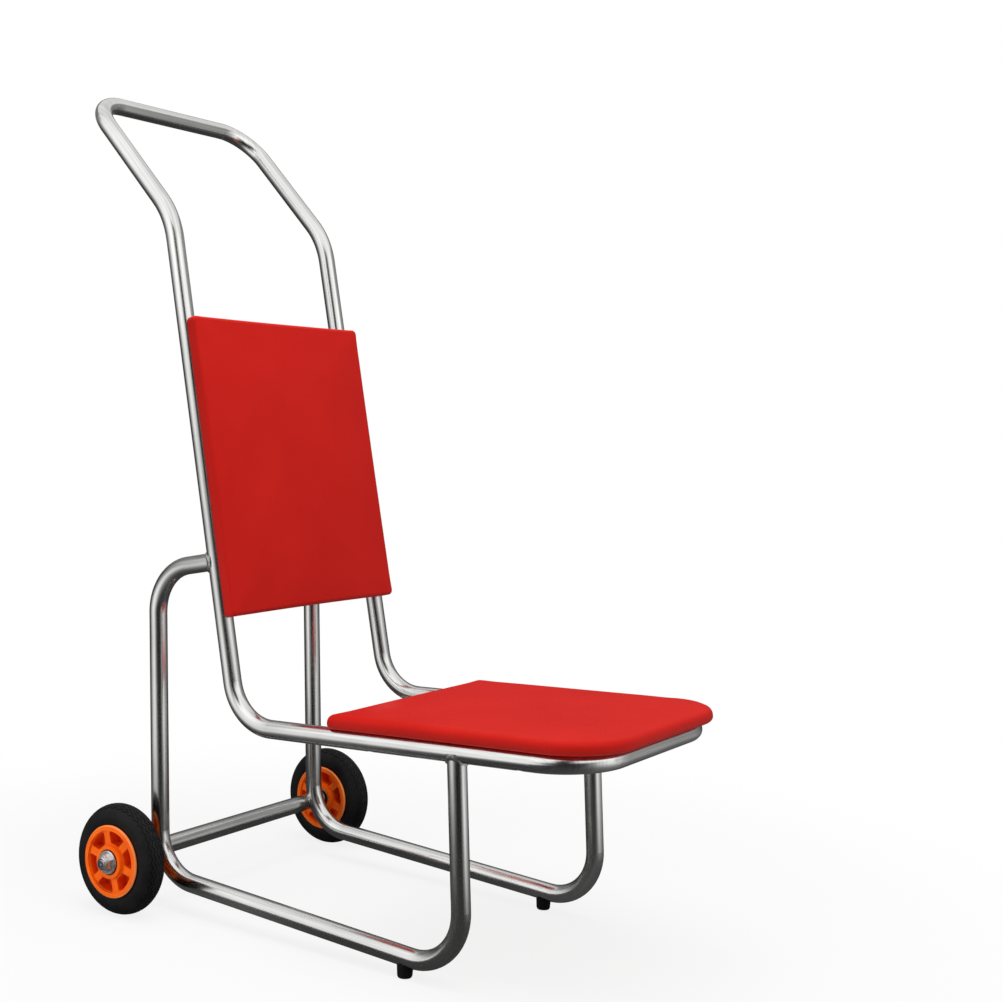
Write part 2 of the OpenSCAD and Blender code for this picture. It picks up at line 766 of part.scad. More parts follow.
module rim(side) {
    turn = spoke_turns[side < 0 ? 0 : 1];
    color(orange) on_wheel(side) difference() {
        rotate_extrude() {
            rim_section();
            mirror([0, 1]) rim_section();
        }
        for (out = [0, 1], k = [0 : spokes - 1])
            mirror([0, 0, out]) rotate(turn + 360 * k / spokes)
                translate([0, 0, web_t / 2]) linear_extrude(rim_half) polygon(pocket_outline());
    }
}

// Tyre section: a round tread on a bead that fills the rim's channel, with grooves round the crown
module tyre_section() {
    foot_r = channel_r + slip_gap;
    difference() {
        union() {
            translate([tyre_ring_r, 0]) circle(d = tyre_section_d);
            translate([foot_r, -bead_half]) square([tyre_ring_r - foot_r, 2 * bead_half]);
        }
        square([2 * foot_r, wheel_d], center = true);
        for (z = [-groove_step, 0, groove_step]) {
            crown = tyre_ring_r + sqrt(pow(tyre_section_d / 2, 2) - z * z);
            translate([crown - groove_depth, z - groove_w / 2]) square([tyre_section_d, groove_w]);
        }
        for (out = [-1, 1])
            translate([rim_d / 2 - lip_r, out * (rim_half - lip_r)]) circle(r = lip_r + slip_gap);
    }
}

module tyre(side) {
    color(black) on_wheel(side) rotate_extrude() tyre_section();
}

handle_tube();
seat_tube();
leg_tube(-1);  // left_leg_tube
leg_tube(1);  // right_leg_tube
axle_tube();
upright_welds();
rail_welds();
axle_welds();
seat_board();
seat_pad();
seat_screws();
seat_tee_nuts();
back_board();
back_pad();
back_screws();
back_tee_nuts();
foot(-1);  // left_foot
foot(1);  // right_foot
foot_screws();
axle_rod();
axle_plug(-1);  // left_axle_plug
axle_plug(1);  // right_axle_plug
inner_washer(-1);  // left_inner_washer
inner_washer(1);  // right_inner_washer
outer_washer(-1);  // left_outer_washer
outer_washer(1);  // right_outer_washer
axle_nut(-1);  // left_axle_nut
axle_nut(1);  // right_axle_nut
lock_ring(-1);  // left_lock_ring
lock_ring(1);  // right_lock_ring
bearing_sleeve(-1);  // left_bearing_sleeve
bearing_sleeve(1);  // right_bearing_sleeve
inner_race(-1, -1);  // left_inner_race_inboard
inner_race(-1, 1);  // left_inner_race_outboard
inner_race(1, -1);  // right_inner_race_inboard
inner_race(1, 1);  // right_inner_race_outboard
tyre(-1);  // left_tyre
rim(-1);  // left_rim
bearing(-1, -1);  // left_bearing_inboard
bearing(-1, 1);  // left_bearing_outboard
ball_set(-1, -1);  // left_balls_inboard
ball_set(-1, 1);  // left_balls_outboard
tyre(1);  // right_tyre
rim(1);  // right_rim
bearing(1, -1);  // right_bearing_inboard
bearing(1, 1);  // right_bearing_outboard
ball_set(1, -1);  // right_balls_inboard
ball_set(1, 1);  // right_balls_outboard
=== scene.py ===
"""Looks of the stacking chair trolley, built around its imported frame. Lengths are metres."""
import math
from collections import namedtuple

import bpy
from mathutils import Matrix, Vector


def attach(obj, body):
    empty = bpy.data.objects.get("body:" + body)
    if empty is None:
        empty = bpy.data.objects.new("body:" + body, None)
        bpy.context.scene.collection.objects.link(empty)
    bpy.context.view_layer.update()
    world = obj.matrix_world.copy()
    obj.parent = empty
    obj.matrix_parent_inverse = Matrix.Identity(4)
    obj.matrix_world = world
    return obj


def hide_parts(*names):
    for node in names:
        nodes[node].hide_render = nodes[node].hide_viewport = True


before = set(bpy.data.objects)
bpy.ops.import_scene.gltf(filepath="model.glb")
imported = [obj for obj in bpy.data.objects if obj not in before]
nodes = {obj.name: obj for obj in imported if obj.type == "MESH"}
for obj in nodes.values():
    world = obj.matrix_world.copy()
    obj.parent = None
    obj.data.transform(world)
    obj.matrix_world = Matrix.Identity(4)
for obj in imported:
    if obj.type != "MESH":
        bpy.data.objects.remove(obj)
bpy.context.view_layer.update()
scene = bpy.context.scene
MM = 0.001

# Frame that the pads lie on: where the seat and back centre lines cross, their slopes and the tubes
CORNER = Vector((0, 111.805 * MM, 274 * MM))
SEAT_RISE = math.radians(3)
BACK_LEAN = math.radians(12.75)
TUBE_R = 12.5 * MM
TRACK = 335 * MM
FRONT_BAR = -548 * MM
FRONT_BEND_R = 75 * MM
BARS_END = 105 * MM
SIDES_START = 160 * MM

# Wheels: the middle of their axle, how far each stands from it, and the tyres' radius
AXLE = Vector((0, 266.093 * MM, 76 * MM))
WHEEL_X = 225.5 * MM
TYRE_R = 76 * MM

# Pads: a sheet over foam and a board, wrapped round the board's edge
PAD_LIFT = 12.7 * MM
PAD_HALF_W = 180.8 * MM
PAD_CROWN = 2.8 * MM
PAD_DRAW = 1 * MM
PAD_CORNER = 2.5 * MM
PAD_ACROSS, PAD_ALONG = 72, 80
BOARD_T = 8 * MM
BOARD_SHY = 1.1 * MM
WRAP = 38 * MM
SHEET_T = 0.8 * MM
SHEET_GAP = 0.02 * MM
TUBE_SPARE = 0.05 * MM
CLOTH_CAP = 2.2 * MM
CLOTH_FRAMES = 20

# Camera, fitted to the photograph: pixels, degrees, and metres back, right and up from a point of the set
PHOTO_PX = 1002
FOCAL_PX = 1538.52
CENTRE_ROW_PX = 413.81
CAMERA_YAW, CAMERA_PITCH, CAMERA_ROLL = -57.105, 0.449, 2.127
CAMERA_BASE = Vector((0, -0.006195, 0.55))
CAMERA_BACK, CAMERA_RIGHT, CAMERA_UP = 2.1677, 0.15155, 0.16028
SENSOR_W = 36

# Studio: the floor's reach and shadow, the world's light, and the room that only reflections see
FLOOR_REACH = 30.0
FLOOR_GREY = 0.68
SHADOW_START, SHADOW_END = 0.45, 1.15
SHADOW_WHITE = 0.85
WORLD_LIGHT = 0.22
ROOM_TURN = 212.9
ROOM_R = 2.9
ROOM_TOP = 2.75
ROOM_LIFT = 1 * MM
ROOM_HOLE_R = 0.02
ROOM_SIDES = 48
BRIGHTEST = 2.0

# Square soft lamps: name, place, aim, width and watts
LAMPS = (
    ("key", (-0.45, -1.45, 2.25), (0, 0, 0.5), 1.6, 25),
    ("left_box", (-0.95, 0.62, 0.28), (-0.25, 0.27, 0.08), 0.5, 3.3),
    ("top_box", (-0.2, -0.1, 2.9), (0, 0, 0.4), 2.0, 59),
)


# Node helpers

def rgb(r, g, b):
    return (r, g, b, 1.0)


def grey(level):
    return rgb(level, level, level)


def put(tree, socket, value):
    """Sets a socket, or links it where the value is another node's output."""
    if isinstance(value, bpy.types.NodeSocket):
        tree.links.new(value, socket)
    else:
        socket.default_value = value


def add_node(tree, kind, values=None, **props):
    made = tree.nodes.new("ShaderNode" + kind)
    for key, value in props.items():
        setattr(made, key, value)
    for key, value in (values or {}).items():
        put(tree, made.inputs[key], value)
    return made


def bare_material(name):
    """A material with no nodes yet, whose glow isn't sampled as a lamp."""
    mat = bpy.data.materials.new(name)
    mat.use_nodes = True
    mat.cycles.emission_sampling = "NONE"
    mat.node_tree.nodes.clear()
    return mat, mat.node_tree


class Look:
    """A node material around one Principled shader, textured in the object's own coordinates."""

    def __init__(self, name, **sockets):
        self.mat = bpy.data.materials.new(name)
        self.mat.use_nodes = True
        self.tree = self.mat.node_tree
        self.shader = self.tree.nodes["Principled BSDF"]
        self.at = self.add("TexCoord").outputs["Object"]
        self.wear(**sockets)

    def add(self, kind, values=None, **props):
        return add_node(self.tree, kind, values, **props)

    def math(self, operation, *values):
        return self.add("Math", dict(enumerate(values)), operation=operation).outputs[0]

    def noise(self, scale, detail=3.0, rough=0.5, stretch=None):
        at = self.at
        if stretch is not None:
            at = self.add("Mapping", {"Vector": at, "Scale": stretch}).outputs[0]
        values = {"Vector": at, "Scale": scale, "Detail": detail, "Roughness": rough}
        return self.add("TexNoise", values).outputs["Fac"]

    def cells(self, scale, softness):
        values = {"Vector": self.at, "Scale": scale, "Smoothness": softness}
        return self.add("TexVoronoi", values, feature="SMOOTH_F1").outputs["Distance"]

    def ramp(self, value, low, high, out_low=0.0, out_high=1.0, kind="LINEAR"):
        values = {"Value": value, "From Min": low, "From Max": high, "To Min": out_low, "To Max": out_high}
        return self.add("MapRange", values, interpolation_type=kind).outputs[0]

    def smooth(self, value, low, high, out_low=0.0, out_high=1.0):
        return self.ramp(value, low, high, out_low, out_high, "SMOOTHSTEP")

    def blend(self, share, a, b):
        return self.add("Mix", {0: share, 6: a, 7: b}, data_type="RGBA").outputs[2]

    def bump(self, height, strength, distance, normal=None):
        values = {"Height": height, "Strength": strength, "Distance": distance}
        if normal is not None:
            values["Normal"] = normal
        return self.add("Bump", values).outputs[0]

    def along(self, vector, direction):
        """Length of a vector along a fixed direction."""
        values = {0: vector, 1: tuple(direction)}
        return self.add("VectorMath", values, operation="DOT_PRODUCT").outputs["Value"]

    def place(self):
        return self.add("SeparateXYZ", {0: self.at}).outputs

    def side_distance(self):
        """Distance from the plane between the left and right sides."""
        return self.math("ABSOLUTE", self.place()["X"])

    def axle_radius(self):
        place = self.place()
        y = self.math("SUBTRACT", place["Y"], AXLE.y)
        z = self.math("SUBTRACT", place["Z"], AXLE.z)
        return self.math("SQRT", self.math("ADD", self.math("MULTIPLY", y, y), self.math("MULTIPLY", z, z)))

    def wear(self, **sockets):
        for key, value in sockets.items():
            put(self.tree, self.shader.inputs[key.replace("_", " ")], value)
        return self.mat


# Materials

def draw_marks(k, runs, detail, fine, coarse):
    """Marks along a tube, fine across it and coarse along it. They run across the trolley, in the planes
    of its sides, or change from the first to the second between the bars and the sides."""
    if runs == "both":
        on_bars = draw_marks(k, "across", detail, fine, coarse)
        on_sides = draw_marks(k, "sides", detail, fine, coarse)
        return k.blend(k.smooth(k.side_distance(), BARS_END, SIDES_START), on_bars, on_sides)
    stretch = (coarse, fine, fine) if runs == "across" else (fine, coarse, coarse)
    return k.noise(1.0, detail, 0.6, stretch=stretch)


def steel_look(name, runs):
    """Satin tube with draw marks along it."""
    k = Look(name, Metallic=1.0)
    streak = draw_marks(k, runs, 4, 1500, 22)
    line = draw_marks(k, runs, 2, 420, 4)
    cloud = k.noise(9, 3, 0.55)
    grain = k.noise(2600, 2, 0.5)
    tone = k.math("MULTIPLY_ADD", streak, 0.3, k.math("MULTIPLY", cloud, 0.2))
    tone = k.math("MULTIPLY_ADD", line, 0.5, tone)
    colour = k.blend(k.ramp(tone, 0.35, 0.65), rgb(0.47, 0.47, 0.46), rgb(0.74, 0.74, 0.73))
    rough = k.math("ADD", k.ramp(streak, 0.3, 0.7, 0.15, 0.21), k.ramp(cloud, 0.3, 0.7, 0.0, 0.04))
    normal = k.bump(streak, 0.06, 0.2 * MM, k.bump(grain, 0.03, 0.1 * MM))
    return k.wear(Base_Color=colour, Roughness=rough, Normal=normal)


def weld_look():
    k = Look("weld_bead", Metallic=1.0)
    cloud = k.noise(140)
    colour = k.blend(cloud, rgb(0.40, 0.39, 0.38), rgb(0.62, 0.61, 0.60))
    normal = k.bump(k.cells(620.0, 0.6), 0.6, 0.6 * MM)
    return k.wear(Base_Color=colour, Roughness=k.ramp(cloud, 0.3, 0.7, 0.26, 0.42), Normal=normal)


def vinyl_look():
    """Coated fabric with a fine leather grain."""
    k = Look("red_vinyl", Specular_IOR_Level=0.13)
    crease = k.noise(420, 4, 0.6)
    cloud = k.noise(7)
    spot = k.math("MULTIPLY_ADD", crease, 0.35, k.math("MULTIPLY", cloud, 0.65))
    colour = k.blend(k.ramp(spot, 0.32, 0.68), rgb(0.47, 0.0090, 0.0058), rgb(0.55, 0.0130, 0.0084))
    height = k.math("MULTIPLY_ADD", crease, 0.5, k.cells(950.0, 0.5))
    normal = k.bump(height, 0.16, 0.3 * MM)
    return k.wear(Base_Color=colour, Roughness=k.ramp(crease, 0.3, 0.7, 0.40, 0.54), Normal=normal)


def plywood_look(name, board_normal):
    """Long grain on a board's faces, and its plies on the edges."""
    k = Look(name, Specular_IOR_Level=0.3)
    level = k.add("CombineXYZ", {0: k.along(k.at, board_normal)}).outputs[0]
    plies = k.add("TexWave", {"Vector": level, "Scale": 120.0, "Distortion": 0.6}, wave_type="BANDS",
                  bands_direction="X").outputs["Fac"]
    fibre = k.noise(1.0, 5, 0.6, stretch=(240, 9, 9))
    figure = k.noise(1.0, 3, 0.5, stretch=(28, 3, 3))
    facing = k.along(k.add("NewGeometry").outputs["Normal"], board_normal)
    edge = k.smooth(k.math("ABSOLUTE", facing), 0.5, 0.8, 1, 0)
    tone = k.math("MULTIPLY_ADD", fibre, 0.5, k.math("MULTIPLY", figure, 0.5))
    face_colour = k.blend(k.ramp(tone, 0.3, 0.7), rgb(0.40, 0.25, 0.13), rgb(0.62, 0.44, 0.26))
    edge_colour = k.blend(plies, rgb(0.30, 0.18, 0.09), rgb(0.60, 0.43, 0.26))
    return k.wear(Base_Color=k.blend(edge, face_colour, edge_colour),
                  Roughness=k.ramp(tone, 0.3, 0.7, 0.55, 0.72), Normal=k.bump(fibre, 0.25, 0.4 * MM))


def rim_look():
    """Moulded orange, with painted shade that makes it deeper in the pockets between the spokes, and a
    painted highlight that makes it paler on the lips.
    """
    hub_edge = (23.5 * MM, 25.0 * MM)
    barrel_edge = (41.2 * MM, 42.0 * MM)
    pocket_mouth = (16.0 * MM, 18.2 * MM)
    lip_edge = (47.6 * MM, 48.6 * MM)
    k = Look("orange_nylon", Specular_IOR_Level=0.12)
    r = k.axle_radius()
    cloud = k.noise(45)
    colour = k.blend(k.ramp(cloud, 0.3, 0.7), rgb(0.86, 0.115, 0.004), rgb(0.96, 0.155, 0.006))
    between = k.math("MULTIPLY", k.smooth(r, *hub_edge), k.smooth(r, *barrel_edge, 1, 0))
    out = k.math("ABSOLUTE", k.math("SUBTRACT", k.side_distance(), WHEEL_X))
    # Painted shade: the pockets between the spokes are coloured a deeper red-orange.
    pocket_shade = k.math("MULTIPLY", between, k.smooth(out, *pocket_mouth, 1, 0))
    colour = k.blend(k.math("MULTIPLY", pocket_shade, 0.6), colour, rgb(0.78, 0.060, 0.004))
    # Painted highlight: a pale ring on the rim's lips.
    lip_highlight = k.math("MULTIPLY", k.smooth(r, *lip_edge), k.ramp(cloud, 0.2, 0.8, 0.5, 0.8))
    colour = k.blend(lip_highlight, colour, rgb(1.0, 0.34, 0.12))
    rounded = k.add("Bevel", {"Radius": 0.8 * MM}, samples=6).outputs[0]
    normal = k.bump(k.noise(1900, 3, 0.55), 0.08, 0.2 * MM, rounded)
    return k.wear(Base_Color=colour, Roughness=k.ramp(cloud, 0.3, 0.7, 0.30, 0.42), Normal=normal)


def rubber_look(name, scuff_r=None):
    """Black rubber with a little dust, and scuffed near a radius from the axle if there is one."""
    dark, dusty, scuffed = rgb(0.006, 0.006, 0.00624), grey(0.011), rgb(0.030, 0.029, 0.029)
    scuff_depth = 3.5 * MM
    k = Look(name, Specular_IOR_Level=0.16)
    grain = k.noise(1500, 3, 0.6)
    colour = k.blend(k.ramp(k.noise(38, 4, 0.6), 0.35, 0.7), dark, dusty)
    if scuff_r is not None:
        worn = k.smooth(k.axle_radius(), scuff_r - scuff_depth, scuff_r)
        worn = k.math("MULTIPLY", worn, k.ramp(k.noise(170, 4, 0.6), 0.35, 0.7, 0.1, 0.8))
        colour = k.blend(k.math("MULTIPLY", worn, 0.6), colour, scuffed)
    rough = k.ramp(grain, 0.3, 0.7, 0.50, 0.66)
    return k.wear(Base_Color=colour, Roughness=rough, Normal=k.bump(grain, 0.14, 0.3 * MM))


def zinc_look(name, threaded=False):
    """Plated steel. The threaded kind has the axle rod's thread, and painted shade darkens its end face,
    all but a centre mark.
    """
    pitch = 1.75 * MM
    thread_start = (260.0 * MM, 260.5 * MM)
    end_face = (262.2 * MM, 262.5 * MM)
    centre_mark = (1.2 * MM, 1.8 * MM)
    k = Look(name, Metallic=1.0)
    cloud = k.noise(210, 3, 0.55)
    colour = k.blend(k.ramp(cloud, 0.3, 0.7), rgb(0.62, 0.62, 0.615), grey(0.78))
    normal = k.bump(k.noise(3200, 2, 0.5), 0.06, 0.1 * MM)
    if threaded:
        x = k.side_distance()
        wave = k.math("SINE", k.math("MULTIPLY", x, 2 * math.pi / pitch))
        normal = k.bump(k.math("MULTIPLY", wave, k.smooth(x, *thread_start)), 0.8, 0.5 * MM, normal)
        # Painted shade: the rod's end face is coloured dark like a recess, with a lighter centre mark.
        face = k.math("MULTIPLY", k.smooth(x, *end_face), k.smooth(k.axle_radius(), *centre_mark))
        colour = k.blend(k.math("MULTIPLY", face, 0.85), colour, rgb(0.10, 0.10, 0.105))
    return k.wear(Base_Color=colour, Roughness=k.ramp(cloud, 0.3, 0.7, 0.34, 0.46), Normal=normal)


def bearing_look():
    """Ground steel rings, the outer one painted dark as shade in its recess, with rubber seals between
    them.
    """
    seal_start = (9.2 * MM, 9.4 * MM)
    seal_end = (15.0 * MM, 15.2 * MM)
    shaded_outer_ring = (15.2 * MM, 15.4 * MM)
    k = Look("bearing_steel", Specular_IOR_Level=0.5)
    r = k.axle_radius()
    seal = k.math("MULTIPLY", k.smooth(r, *seal_start), k.smooth(r, *seal_end, 1, 0))
    cloud = k.noise(300)
    colour = k.blend(k.ramp(cloud, 0.3, 0.7), grey(0.60), grey(0.74))
    # Painted shade: the outer ring is coloured dark where it lies recessed.
    colour = k.blend(k.smooth(r, *shaded_outer_ring), colour, rgb(0.09, 0.09, 0.095))
    colour = k.blend(seal, colour, rgb(0.012, 0.012, 0.013))
    rough = k.math("MULTIPLY_ADD", seal, 0.32, k.ramp(cloud, 0.3, 0.7, 0.14, 0.24))
    return k.wear(Base_Color=colour, Metallic=k.math("SUBTRACT", 1.0, seal), Roughness=rough,
                  Normal=k.bump(cloud, 0.04, 0.2 * MM))


def nylon_look():
    k = Look("lock_nylon", Specular_IOR_Level=0.45, Subsurface_Weight=0.1, Subsurface_Scale=2 * MM)
    cloud = k.noise(400)
    colour = k.blend(cloud, rgb(0.020, 0.022, 0.028), rgb(0.035, 0.037, 0.044))
    return k.wear(Base_Color=colour, Roughness=k.ramp(cloud, 0.3, 0.7, 0.32, 0.48),
                  Normal=k.bump(cloud, 0.1, 0.2 * MM))


seat_up = Vector((0, math.sin(SEAT_RISE), math.cos(SEAT_RISE)))
back_out = Vector((0, -math.cos(BACK_LEAN), math.sin(BACK_LEAN)))
bars_steel = steel_look("satin_steel_bars", "both")
leg_steel = steel_look("satin_steel_legs", "sides")
weld_steel = weld_look()
red_vinyl = vinyl_look()
orange = rim_look()
tyre_rubber = rubber_look("tyre_rubber", TYRE_R)
foot_rubber = rubber_look("foot_rubber")
zinc = zinc_look("zinc_steel")
bearing_steel = bearing_look()
lock_nylon = nylon_look()
finish_of = {
    "handle_tube": bars_steel, "seat_tube": bars_steel,
    "left_leg_tube": leg_steel, "right_leg_tube": leg_steel,
    "axle_tube": steel_look("satin_steel_axle", "across"), "axle_rod": zinc_look("threaded_zinc", True),
    "upright_welds": weld_steel, "rail_welds": weld_steel, "axle_welds": weld_steel,
    "seat_board": plywood_look("seat_plywood", seat_up), "seat_pad": red_vinyl,
    "back_board": plywood_look("back_plywood", back_out), "back_pad": red_vinyl,
    "left_foot": foot_rubber, "right_foot": foot_rubber,
    "left_tyre": tyre_rubber, "right_tyre": tyre_rubber,
    "left_rim": orange, "right_rim": orange, "left_lock_ring": lock_nylon, "right_lock_ring": lock_nylon,
}
BEARING_WORDS = ("bearing_inboard", "bearing_outboard", "race", "balls")
for name, obj in nodes.items():
    in_bearing = any(word in name for word in BEARING_WORDS)
    for place in obj.material_slots:
        place.material = finish_of.get(name, bearing_steel if in_bearing else zinc)


# Mesh helper

def new_object(name, points, faces, material, matrix=None, smooth=True):
    mesh = bpy.data.meshes.new(name)
    mesh.from_pydata([tuple(matrix @ Vector(p)) if matrix else tuple(p) for p in points], [], faces)
    mesh.update()
    if smooth:
        mesh.polygons.foreach_set("use_smooth", [True] * len(mesh.polygons))
    mesh.materials.append(material)
    obj = bpy.data.objects.new(name, mesh)
    scene.collection.objects.link(obj)
    return obj


# Pads: a regular sheet over the foam, rolled over the edge and round the board, then blown up as cloth

PadShape = namedtuple("PadShape", "name node place low high low_r high_r thick top_r under_r low_steps "
                                  "tube_clear")
HIGH_STEPS = 4


def corner_arc(x, y, r, start, end, steps):
    """Points of an arc between two angles in degrees, each with its outward direction."""
    rows = []
    for i in range(steps + 1):
        a = math.radians(start + (end - start) * i / steps)
        rows.append((Vector((x + r * math.cos(a), y + r * math.sin(a))),
                     Vector((math.cos(a), math.sin(a)))))
    return rows


def drawn_side(p, q, steps):
    """Points between two corners, drawn in towards the middle, each with its outward direction."""
    way = (q - p).normalized()
    out = Vector((way.y, -way.x))
    rows = []
    for i in range(1, steps):
        f = i / steps
        rows.append((p.lerp(q, f) - out * PAD_DRAW * math.sin(math.pi * f), out))
    return rows


def pad_sides(shape):
    """The outline inside the rolled edge, as its south, east, north and west sides from mid corner to mid
    corner. They run along +x and +y."""
    half_x, low, high = PAD_HALF_W - shape.top_r, shape.low + shape.top_r, shape.high - shape.top_r
    low_r = max(shape.low_r - shape.top_r, PAD_CORNER)
    high_r = max(shape.high_r - shape.top_r, PAD_CORNER)
    north_east = (half_x - high_r, high - high_r, high_r, HIGH_STEPS)
    north_west = (high_r - half_x, high - high_r, high_r, HIGH_STEPS)
    south_west = (low_r - half_x, low + low_r, low_r, shape.low_steps)
    south_east = (half_x - low_r, low + low_r, low_r, shape.low_steps)

    def side(first, last, angle, count):
        *first_arc, first_steps = first
        *last_arc, last_steps = last
        head = corner_arc(*first_arc, angle, angle + 45, first_steps)
        tail = corner_arc(*last_arc, angle + 45, angle + 90, last_steps)
        return head + drawn_side(head[-1][0], tail[0][0], count - first_steps - last_steps) + tail

    north = side(north_east, north_west, 45, PAD_ACROSS)
    west = side(north_west, south_west, 135, PAD_ALONG)
    south = side(south_west, south_east, 225, PAD_ACROSS)
    east = side(south_east, north_east, 315, PAD_ALONG)
    return south, east, north[::-1], west[::-1]


def pad_top(shape, south, east, north, west):
    """Points of the crowned top, row by row, and the faces between them."""
    mid_y, half_y = (shape.low + shape.high) / 2, (shape.high - shape.low) / 2
    points, faces = [], []
    for j in range(PAD_ALONG + 1):
        v = j / PAD_ALONG
        for i in range(PAD_ACROSS + 1):
            u = i / PAD_ACROSS
            flat = (south[i][0] * (1 - v) + north[i][0] * v + west[j][0] * (1 - u) + east[j][0] * u
                    - south[0][0] * (1 - u) * (1 - v) - south[-1][0] * u * (1 - v)
                    - north[0][0] * (1 - u) * v - north[-1][0] * u * v)
            a, b = flat.x / PAD_HALF_W, (flat.y - mid_y) / half_y
            points.append((flat.x, flat.y, shape.thick + PAD_CROWN * (1 - a ** 4) * (1 - b ** 4)))
    row = PAD_ACROSS + 1
    for j in range(PAD_ALONG):
        for i in range(PAD_ACROSS):
            a = j * row + i
            faces.append((a, a + 1, a + 1 + row, a + row))
    return points, faces


def top_border(south, east, north, west):
    """The top's border, once round: each point's place among the points, and its row of the outline."""
    row = PAD_ACROSS + 1
    border = [(i, south[i]) for i in range(PAD_ACROSS)]
    border += [(j * row + PAD_ACROSS, east[j]) for j in range(PAD_ALONG)]
    border += [(PAD_ALONG * row + i, north[i]) for i in range(PAD_ACROSS, 0, -1)]
    border += [(j * row, west[j]) for j in range(PAD_ALONG, 0, -1)]
    return border


def pad_rings(shape):
    """Rings from the top's border to the board's upper face: kind, offset and height.

    The offset runs outwards on the free and held rings, and inwards from the fold on the others.
    """
    rings = []
    for a in (math.radians(degrees) for degrees in (15, 30, 45, 60, 75, 90)):
        rings.append(("free", shape.top_r * math.sin(a), shape.thick - shape.top_r * (1 - math.cos(a))))
    roll_end = rings[-1][2]
    drop = roll_end - shape.under_r
    for kind, f in (("free", 0.25), ("free", 0.5), ("held", 0.75), ("held", 1.0)):
        rings.append((kind, shape.top_r, roll_end - drop * f))
    for a in (math.radians(degrees) for degrees in (30, 60)):
        offset = shape.top_r - shape.under_r * (1 - math.cos(a))
        rings.append(("held", offset, shape.under_r * (1 - math.sin(a))))
    for f in (0, 0.1, 0.25, 0.42, 0.6, 0.8, 1.0):
        rings.append(("wrap", WRAP * f, 0.0))
    rings.append(("under", WRAP, -SHEET_GAP))
    rings.append(("under", BOARD_SHY, -SHEET_GAP))
    rings.append(("under", BOARD_SHY, BOARD_T + SHEET_GAP))
    return rings


def make_pad(shape):
    sides = pad_sides(shape)
    points, faces = pad_top(shape, *sides)
    top_points, top_faces = len(points), list(faces)
    border = top_border(*sides)
    mid_y, half_y = (shape.low + shape.high) / 2, (shape.high - shape.low) / 2
    fold = shape.top_r - shape.under_r
    held = []
    last = [index for index, _ in border]
    for kind, offset, z in pad_rings(shape):
        ring = []
        for _, (p, out) in border:
            q = p + out * (offset if kind in ("free", "held") else fold)
            if kind in ("wrap", "under"):
                q = Vector((q.x * (1 - offset / PAD_HALF_W), mid_y + (q.y - mid_y) * (1 - offset / half_y)))
            if kind == "wrap":
                z = -min(SHEET_T, shape.tube_clear(q) - TUBE_SPARE)
            ring.append(len(points))
            points.append((q.x, q.y, z))
        if kind != "free":
            held += ring
        for i in range(len(ring)):
            j = (i + 1) % len(ring)
            faces.append((last[i], ring[i], ring[j], last[j]))
        last = ring

    # The pad closes over the board with a copy of its top's faces, turned over
    inside = {index: at for (index, _), at in zip(border, last)}
    board_top = points[last[0]][2]
    for index in range(top_points):
        if index not in inside:
            x, y, _ = points[index]
            inside[index] = len(points)
            held.append(len(points))
            points.append((x, y, board_top))
    faces += [tuple(inside[index] for index in reversed(face)) for face in top_faces]

    pad = new_object(shape.name, points, faces, red_vinyl, shape.place)
    blow_up(pad, held)
    soft = pad.modifiers.new("smooth", "SUBSURF")
    soft.levels = soft.render_levels = 1
    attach(pad, "frame")
    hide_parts(shape.node)


def blow_up(pad, held):
    """Cloth under pressure, with the wrapped lower edge held.

    All movement is scaled down alike, so that no point moves further than the cap and the form stays
    smooth.
    """
    start = [v.co.copy() for v in pad.data.vertices]
    group = pad.vertex_groups.new(name="held")
    group.add(held, 1.0, "REPLACE")
    cloth = pad.modifiers.new("cloth", "CLOTH")
    settings = cloth.settings
    settings.quality = 6
    settings.mass = 0.2
    settings.tension_stiffness = settings.compression_stiffness = 25
    settings.shear_stiffness = 10
    settings.bending_stiffness = 2
    settings.vertex_group_mass = "held"
    settings.pin_stiffness = 1
    settings.use_pressure = True
    settings.uniform_pressure_force = 4
    settings.effector_weights.gravity = 0
    cloth.collision_settings.use_collision = False
    cloth.point_cache.frame_start = 1
    cloth.point_cache.frame_end = CLOTH_FRAMES
    for f in range(1, CLOTH_FRAMES + 1):
        scene.frame_set(f)
    shaped = pad.evaluated_get(bpy.context.evaluated_depsgraph_get())
    moved = [v.co.copy() for v in shaped.data.vertices]
    pad.modifiers.remove(cloth)
    scene.frame_set(1)
    most = max((now - was).length for was, now in zip(start, moved))
    share = min(1.0, CLOTH_CAP / most)
    for v, was, now in zip(pad.data.vertices, start, moved):
        v.co = was + (now - was) * share
    pad.data.update()
    print(f"{pad.name}: the cloth moved {most / MM:.2f} mm at most, capped at {CLOTH_CAP / MM:.1f} mm")


def surface_gap(d):
    """How far a tube's surface lies below a board, at distance d from the tube's centre line."""
    no_tube = 50 * MM
    return no_tube if d >= TUBE_R else PAD_LIFT - math.sqrt(TUBE_R ** 2 - d * d)


def clear_of_rails(p):
    """Gap under the seat at p, over the two rails, the front bar and the bends between them."""
    far = 1.0
    x, y = abs(p.x), p.y
    bend = Vector((TRACK / 2 - FRONT_BEND_R, FRONT_BAR + FRONT_BEND_R))
    if x > bend.x and y < bend.y:
        return surface_gap(abs((Vector((x, y)) - bend).length - FRONT_BEND_R))
    rail = abs(x - TRACK / 2) if y > bend.y else far
    bar = abs(y - FRONT_BAR) if x < bend.x else far
    return surface_gap(min(rail, bar))


def clear_of_uprights(p):
    return surface_gap(abs(abs(p.x) - TRACK / 2))


def pad_place(turn):
    """Frame of a pad: x across, y along the tubes, z off them, with the pad's lower face at z = 0."""
    lift = Matrix.Translation((0, 0, PAD_LIFT))
    return Matrix.Translation(CORNER) @ Matrix.Rotation(turn, 4, "X") @ lift


